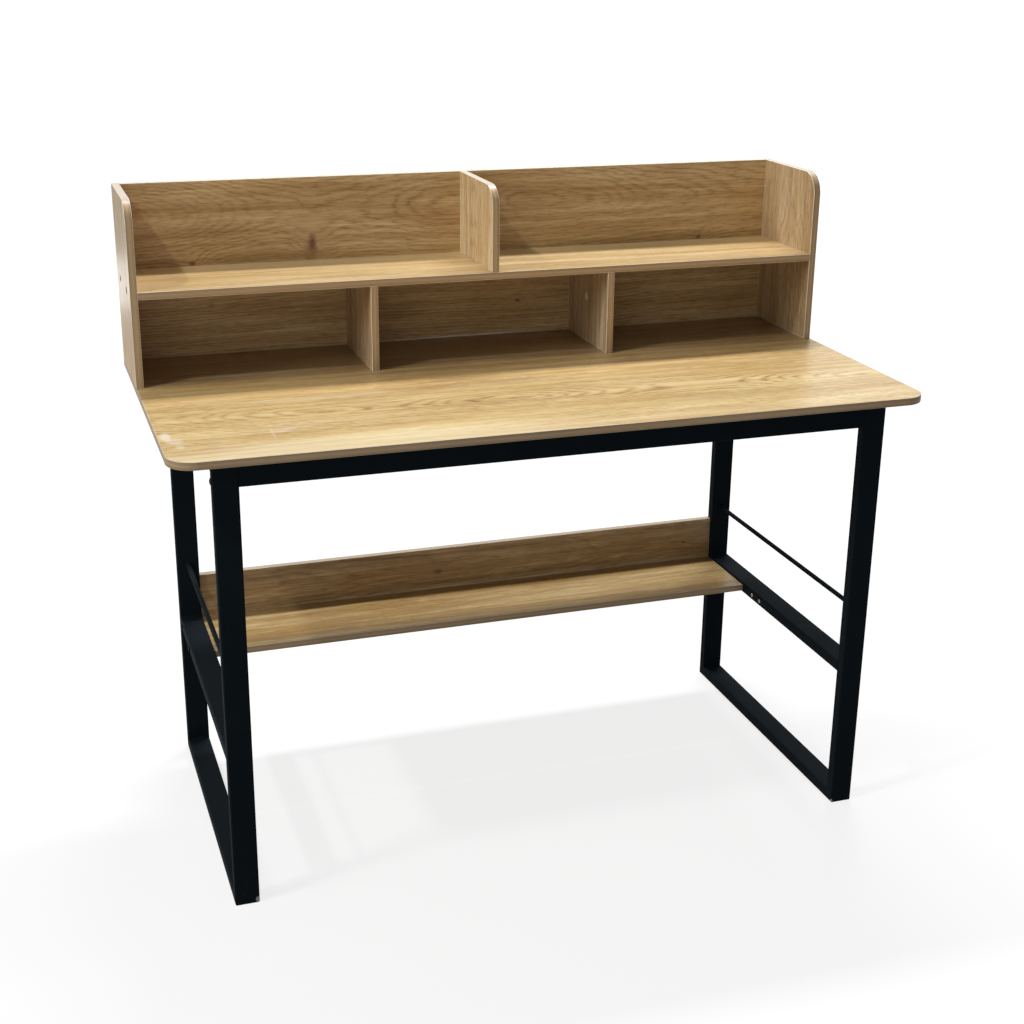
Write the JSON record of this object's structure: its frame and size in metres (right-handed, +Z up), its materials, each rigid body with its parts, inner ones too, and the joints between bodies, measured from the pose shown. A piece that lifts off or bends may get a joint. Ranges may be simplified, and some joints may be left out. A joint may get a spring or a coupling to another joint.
{
  "type": "desk with cubbies",
  "caption": "Oak faced desk on two black steel side frames, with a low open hutch of cubbies along the back and a lower shelf with a back board between the frames.",
  "frame": {"origin": "on the floor, under the middle of the worktop", "axes": "+X to the sitter's right, +Y to the back of the desk, +Z up"},
  "size_m": [1.2, 0.6, 1.031],
  "materials": {
    "oak_board": "satin oak foil",
    "edge_band": "satin oak edge strip",
    "black_steel": "satin powder coat",
    "bare_steel": "plain",
    "black_fastener": "black oxide",
    "zinc": "bright zinc",
    "beech": "raw"
  },
  "bodies": {
    "root": {"worktop": "oak_board", "worktop_edge_band": "edge_band", "hutch_left_side": "oak_board", "hutch_left_side_edge_band": "edge_band", "hutch_right_side": "oak_board", "hutch_right_side_edge_band": "edge_band", "hutch_shelf": "oak_board", "hutch_shelf_edge_band": "edge_band", "hutch_back_panel": "oak_board", "hutch_back_panel_edge_band": "edge_band", "upper_divider": "oak_board", "upper_divider_edge_band": "edge_band", "lower_left_divider": "oak_board", "lower_left_divider_edge_band": "edge_band", "lower_right_divider": "oak_board", "lower_right_divider_edge_band": "edge_band", "lower_shelf": "oak_board", "lower_shelf_edge_band": "edge_band", "lower_back_board": "oak_board", "lower_back_board_edge_band": "edge_band", "left_front_leg": "black_steel", "left_rear_leg": "black_steel", "left_floor_bar": "black_steel", "left_top_bar": "black_steel", "left_mid_rail": "black_steel", "left_side_rod": "black_steel", "right_front_leg": "black_steel", "right_rear_leg": "black_steel", "right_floor_bar": "black_steel", "right_top_bar": "black_steel", "right_mid_rail": "black_steel", "right_side_rod": "black_steel", "front_top_rail": "black_steel", "rear_top_rail": "black_steel", "rail_end_plates": "bare_steel", "rail_bolts": "black_fastener", "rail_inserts": "zinc", "worktop_screws": "black_fastener", "lower_shelf_screws": "black_fastener", "back_board_screws": "black_fastener", "hutch_side_screws": "black_fastener", "back_panel_screws": "black_fastener", "upper_divider_screws": "black_fastener", "hutch_base_screws": "black_fastener", "cam_discs": "zinc", "cam_bolts": "zinc", "dowels": "beech"}
  },
  "joints": []
}
